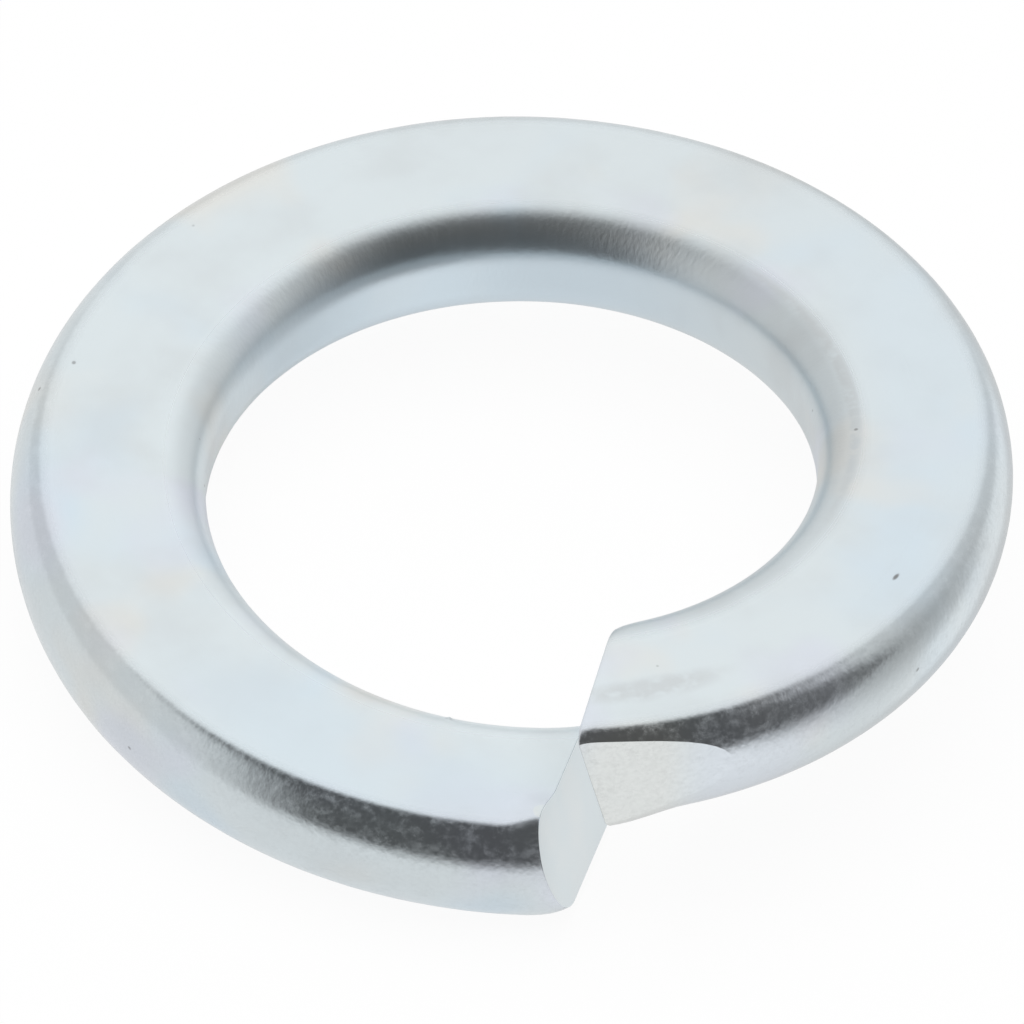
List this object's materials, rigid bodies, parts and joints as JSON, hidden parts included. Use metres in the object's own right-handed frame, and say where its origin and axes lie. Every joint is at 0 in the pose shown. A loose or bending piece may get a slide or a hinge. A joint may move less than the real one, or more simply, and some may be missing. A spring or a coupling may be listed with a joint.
{
  "type": "spring lock washer",
  "caption": "Split helical spring lock washer of rounded flat wire, with a slanted cut, for a 12 mm bolt.",
  "frame": {"origin": "on the bore's axis, level with the lowest point of the ring, which is at its lower cut end", "axes": "+Z along the bore, from the lower cut end to the upper one; the cut is centred on -Y; seen from +Z the wire rises clockwise"},
  "size_m": [0.0204, 0.0204, 0.0053],
  "materials": {
    "zinc_plated_steel": "bright bluish zinc plating on spring steel, satin, with fine tumbling marks"
  },
  "bodies": {
    "root": {"lock_washer": "zinc_plated_steel"}
  },
  "joints": []
}
